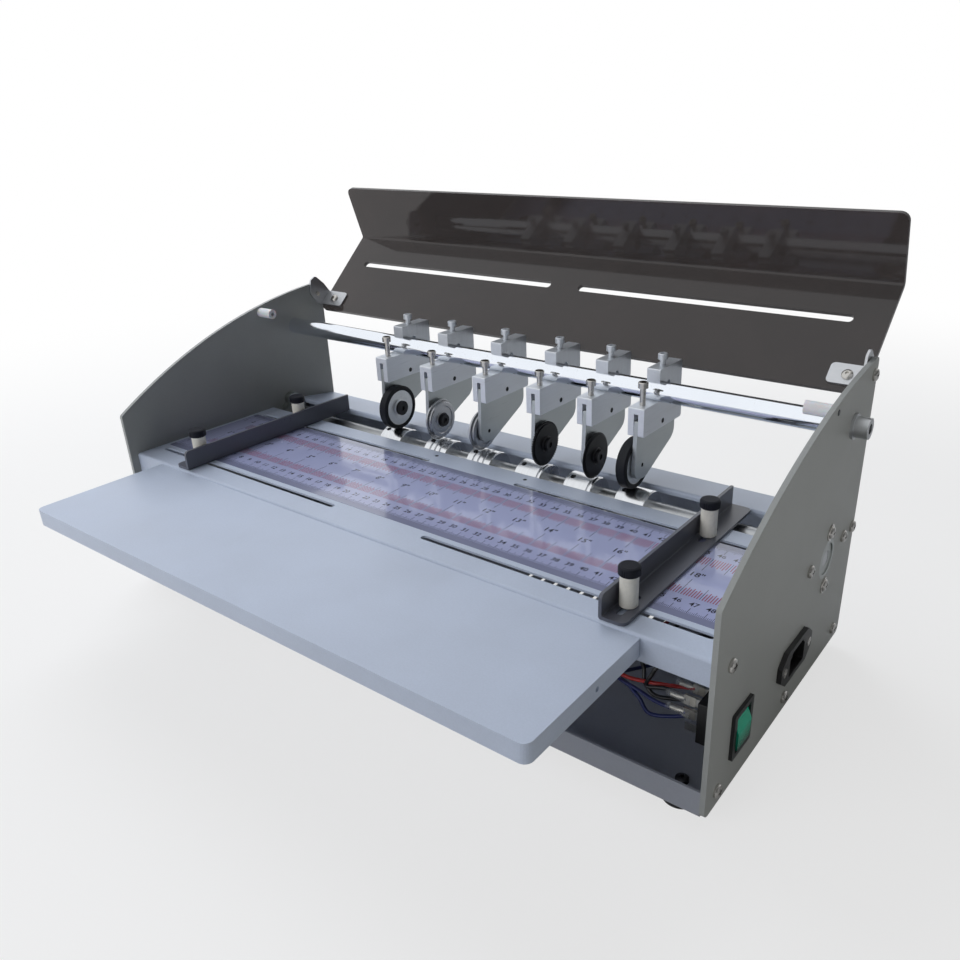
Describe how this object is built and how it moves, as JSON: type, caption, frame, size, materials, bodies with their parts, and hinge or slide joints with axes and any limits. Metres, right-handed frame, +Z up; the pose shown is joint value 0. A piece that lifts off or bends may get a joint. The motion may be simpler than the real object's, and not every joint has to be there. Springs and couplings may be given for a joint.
{
  "type": "desktop paper creasing machine",
  "caption": "Desktop machine that creases, perforates and slits paper with wheels on a bar above driven rollers, with a feed table, side guides and a hinged smoked hood.",
  "frame": {"origin": "centre of the overall box, with the hood open, on the surface that the feet stand on", "axes": "+X to the operator's right along the shafts, +Y away from the operator, +Z up"},
  "size_m": [0.5252, 0.3666, 0.2863],
  "materials": {
    "powder_grey": "fine grey powder coat",
    "powder_light": "pale blue-grey powder coat",
    "chrome": "bright chrome plate",
    "steel": "plain machined steel",
    "zinc": "zinc plated steel",
    "aluminium": "fine turned or milled aluminium",
    "nylon": "natural white nylon",
    "knob": "black knurled plastic cap on a white sleeve",
    "rubber": "black rubber",
    "black_plastic": "black moulded plastic",
    "switch_green": "translucent green plastic",
    "smoked_acrylic": "smoked brown acrylic sheet",
    "guide_metal": "dark gunmetal coat",
    "motor_metal": "dark painted motor body",
    "lead_pvc": "red, blue and black insulated leads",
    "tyre": "black rubber tyre on a steel hub",
    "tool_black": "blackened tool steel"
  },
  "bodies": {
    "base": {"base_pan": "powder_grey", "left_side_plate": "powder_grey", "right_side_plate": "powder_grey", "deck": "powder_light", "feed_table": "powder_light", "rear_panel": "powder_light", "tool_bar": "chrome", "bar_screws": "steel", "stop_pins": "nylon", "plate_screws": "steel", "shaft_bearings": "zinc", "rubber_feet": "rubber", "power_inlet": "black_plastic", "switch_housing": "black_plastic", "gear_motor": "motor_metal", "motor_bracket": "zinc", "switch_leads": "lead_pvc"},
    "hood": {"hood": "smoked_acrylic", "hood_hinges": "zinc"},
    "drive_shaft": {"drive_shaft": "steel", "shaft_rollers": "aluminium", "shaft_gear": "steel"},
    "motor_pinion": {"motor_pinion": "steel"},
    "switch_rocker": {"switch_rocker": "switch_green"},
    "left_guide": {"left_guide": "guide_metal"},
    "left_front_knob": {"left_front_knob": "knob"},
    "left_rear_knob": {"left_rear_knob": "knob"},
    "right_guide": {"right_guide": "guide_metal"},
    "right_front_knob": {"right_front_knob": "knob"},
    "right_rear_knob": {"right_rear_knob": "knob"},
    "tool_1": {"tool_block_1": "aluminium", "clamp_jaw_1": "steel"},
    "pressure_screw_1": {"pressure_screw_1": "steel"},
    "arm_1": {"tool_arm_1": "steel"},
    "wheel_1": {"drive_wheel_1": "tyre"},
    "tool_2": {"tool_block_2": "aluminium", "clamp_jaw_2": "steel"},
    "pressure_screw_2": {"pressure_screw_2": "steel"},
    "arm_2": {"tool_arm_2": "steel"},
    "wheel_2": {"crease_wheel_2": "aluminium"},
    "tool_3": {"tool_block_3": "aluminium", "clamp_jaw_3": "steel"},
    "pressure_screw_3": {"pressure_screw_3": "steel"},
    "arm_3": {"tool_arm_3": "steel"},
    "wheel_3": {"crease_wheel_3": "aluminium"},
    "tool_4": {"tool_block_4": "aluminium", "clamp_jaw_4": "steel"},
    "pressure_screw_4": {"pressure_screw_4": "steel"},
    "arm_4": {"tool_arm_4": "steel"},
    "wheel_4": {"perf_wheel_4": "tool_black"},
    "tool_5": {"tool_block_5": "aluminium", "clamp_jaw_5": "steel"},
    "pressure_screw_5": {"pressure_screw_5": "steel"},
    "arm_5": {"tool_arm_5": "steel"},
    "wheel_5": {"slit_wheel_5": "tool_black"},
    "tool_6": {"tool_block_6": "aluminium", "clamp_jaw_6": "steel"},
    "pressure_screw_6": {"pressure_screw_6": "steel"},
    "arm_6": {"tool_arm_6": "steel"},
    "wheel_6": {"drive_wheel_6": "tyre"}
  },
  "joints": [
    {"name": "hood_swing", "type": "hinge", "parent": "base", "child": "hood", "pos_m": [0, 0.11673, 0.1975], "axis": [1, 0, 0], "range_deg": [0, 149]},
    {"name": "shaft_turn", "type": "hinge", "parent": "base", "child": "drive_shaft", "pos_m": [0, 0.07073, 0.0915], "axis": [1, 0, 0], "continuous": true},
    {"name": "pinion_turn", "type": "hinge", "parent": "base", "child": "motor_pinion", "pos_m": [-0.234, 0.07073, 0.0695], "axis": [1, 0, 0], "continuous": true},
    {"name": "switch_tilt", "type": "hinge", "parent": "base", "child": "switch_rocker", "pos_m": [0.248, -0.05227, 0.0455], "axis": [0, 1, 0], "range_deg": [0, 20]},
    {"name": "left_guide_slide", "type": "slide", "parent": "base", "child": "left_guide", "axis": [1, 0, 0], "range_m": [-0.044, 0.059]},
    {"name": "left_front_knob_turn", "type": "hinge", "parent": "left_guide", "child": "left_front_knob", "pos_m": [-0.1905, -0.06577, 0.115], "axis": [0, 0, 1], "continuous": true},
    {"name": "left_rear_knob_turn", "type": "hinge", "parent": "left_guide", "child": "left_rear_knob", "pos_m": [-0.1905, 0.03223, 0.115], "axis": [0, 0, 1], "continuous": true},
    {"name": "right_guide_slide", "type": "slide", "parent": "base", "child": "right_guide", "axis": [1, 0, 0], "range_m": [-0.05, 0.044]},
    {"name": "right_front_knob_turn", "type": "hinge", "parent": "right_guide", "child": "right_front_knob", "pos_m": [0.1905, -0.06577, 0.115], "axis": [0, 0, 1], "continuous": true},
    {"name": "right_rear_knob_turn", "type": "hinge", "parent": "right_guide", "child": "right_rear_knob", "pos_m": [0.1905, 0.03223, 0.115], "axis": [0, 0, 1], "continuous": true},
    {"name": "tool_1_slide", "type": "slide", "parent": "base", "child": "tool_1", "axis": [1, 0, 0], "range_m": [-0.06, 0.028]},
    {"name": "pressure_screw_1_travel", "type": "slide", "parent": "tool_1", "child": "pressure_screw_1", "axis": [0, 0, 1], "range_m": [0, 0.003]},
    {"name": "arm_1_swing", "type": "hinge", "parent": "tool_1", "child": "arm_1", "pos_m": [-0.115, 0.08923, 0.1525], "axis": [1, 0, 0], "range_deg": [-9, 0]},
    {"name": "wheel_1_turn", "type": "hinge", "parent": "arm_1", "child": "wheel_1", "pos_m": [-0.1093, 0.07073, 0.125], "axis": [1, 0, 0], "continuous": true},
    {"name": "tool_2_slide", "type": "slide", "parent": "base", "child": "tool_2", "axis": [1, 0, 0], "range_m": [-0.028, 0.03]},
    {"name": "pressure_screw_2_travel", "type": "slide", "parent": "tool_2", "child": "pressure_screw_2", "axis": [0, 0, 1], "range_m": [0, 0.003]},
    {"name": "arm_2_swing", "type": "hinge", "parent": "tool_2", "child": "arm_2", "pos_m": [-0.0665, 0.08923, 0.1525], "axis": [1, 0, 0], "range_deg": [-9, 0]},
    {"name": "wheel_2_turn", "type": "hinge", "parent": "arm_2", "child": "wheel_2", "pos_m": [-0.0618, 0.07073, 0.1232], "axis": [1, 0, 0], "continuous": true},
    {"name": "tool_3_slide", "type": "slide", "parent": "base", "child": "tool_3", "axis": [1, 0, 0], "range_m": [-0.03, 0.037]},
    {"name": "pressure_screw_3_travel", "type": "slide", "parent": "tool_3", "child": "pressure_screw_3", "axis": [0, 0, 1], "range_m": [0, 0.003]},
    {"name": "arm_3_swing", "type": "hinge", "parent": "tool_3", "child": "arm_3", "pos_m": [-0.013, 0.08923, 0.1525], "axis": [1, 0, 0], "range_deg": [-9, 0]},
    {"name": "wheel_3_turn", "type": "hinge", "parent": "arm_3", "child": "wheel_3", "pos_m": [-0.0177, 0.07073, 0.1232], "axis": [1, 0, 0], "continuous": true},
    {"name": "tool_4_slide", "type": "slide", "parent": "base", "child": "tool_4", "axis": [1, 0, 0], "range_m": [-0.037, 0.026]},
    {"name": "pressure_screw_4_travel", "type": "slide", "parent": "tool_4", "child": "pressure_screw_4", "axis": [0, 0, 1], "range_m": [0, 0.003]},
    {"name": "arm_4_swing", "type": "hinge", "parent": "tool_4", "child": "arm_4", "pos_m": [0.037, 0.08923, 0.1525], "axis": [1, 0, 0], "range_deg": [-9, 0]},
    {"name": "wheel_4_turn", "type": "hinge", "parent": "arm_4", "child": "wheel_4", "pos_m": [0.0412, 0.07073, 0.1236], "axis": [1, 0, 0], "continuous": true},
    {"name": "tool_5_slide", "type": "slide", "parent": "base", "child": "tool_5", "axis": [1, 0, 0], "range_m": [-0.026, 0.016]},
    {"name": "pressure_screw_5_travel", "type": "slide", "parent": "tool_5", "child": "pressure_screw_5", "axis": [0, 0, 1], "range_m": [0, 0.003]},
    {"name": "arm_5_swing", "type": "hinge", "parent": "tool_5", "child": "arm_5", "pos_m": [0.0805, 0.08923, 0.1525], "axis": [1, 0, 0], "range_deg": [-9, 0]},
    {"name": "wheel_5_turn", "type": "hinge", "parent": "arm_5", "child": "wheel_5", "pos_m": [0.0847, 0.07073, 0.1236], "axis": [1, 0, 0], "continuous": true},
    {"name": "tool_6_slide", "type": "slide", "parent": "base", "child": "tool_6", "axis": [1, 0, 0], "range_m": [-0.016, 0.054]},
    {"name": "pressure_screw_6_travel", "type": "slide", "parent": "tool_6", "child": "pressure_screw_6", "axis": [0, 0, 1], "range_m": [0, 0.003]},
    {"name": "arm_6_swing", "type": "hinge", "parent": "tool_6", "child": "arm_6", "pos_m": [0.121, 0.08923, 0.1525], "axis": [1, 0, 0], "range_deg": [-9, 0]},
    {"name": "wheel_6_turn", "type": "hinge", "parent": "arm_6", "child": "wheel_6", "pos_m": [0.1153, 0.07073, 0.125], "axis": [1, 0, 0], "continuous": true}
  ],
  "couplings": [
    {"joint": "pinion_turn", "follows": "shaft_turn", "ratio": -1},
    {"joint": "arm_1_swing", "follows": "pressure_screw_1_travel", "rad_per_m": -51.3},
    {"joint": "arm_2_swing", "follows": "pressure_screw_2_travel", "rad_per_m": -51.3},
    {"joint": "arm_3_swing", "follows": "pressure_screw_3_travel", "rad_per_m": -51.3},
    {"joint": "arm_4_swing", "follows": "pressure_screw_4_travel", "rad_per_m": -51.3},
    {"joint": "arm_5_swing", "follows": "pressure_screw_5_travel", "rad_per_m": -51.3},
    {"joint": "arm_6_swing", "follows": "pressure_screw_6_travel", "rad_per_m": -51.3}
  ]
}
